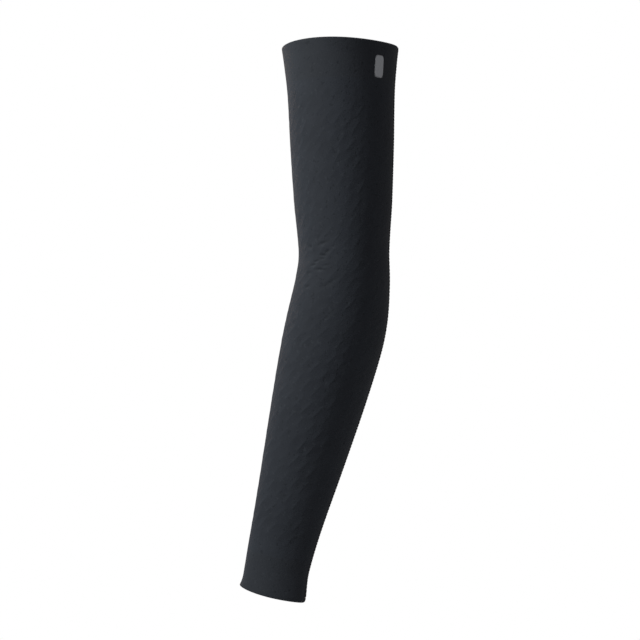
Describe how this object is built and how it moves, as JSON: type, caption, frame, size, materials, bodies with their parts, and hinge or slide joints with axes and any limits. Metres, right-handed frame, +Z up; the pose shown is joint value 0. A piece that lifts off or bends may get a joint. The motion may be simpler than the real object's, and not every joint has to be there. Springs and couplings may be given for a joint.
{
  "type": "arm compression sleeve",
  "caption": "Long ribbed knit sleeve in its worn shape, slightly bent at the elbow, with plain welts at the upper arm and the wrist and a flat seam down the back.",
  "frame": {"origin": "middle of the upper opening, in the plane of the upper rim", "axes": "+Z up the arm, out of the upper opening; the arm bends in the XZ plane, the forearm leans towards -X and the back of the arm with its seam faces +X"},
  "size_m": [0.1274, 0.0866, 0.4441],
  "materials": {
    "ribbed_knit": "matt dark slate knit with slanting ribs",
    "plain_knit": "matt dark slate knit, plain and doubled",
    "seam_thread": "matt black flat stitching",
    "reflective_film": "satin light grey film"
  },
  "bodies": {
    "root": {"sleeve_body": "ribbed_knit", "upper_welt": "plain_knit", "wrist_welt": "plain_knit", "back_seam": "seam_thread", "reflective_tab": "reflective_film"}
  },
  "joints": []
}
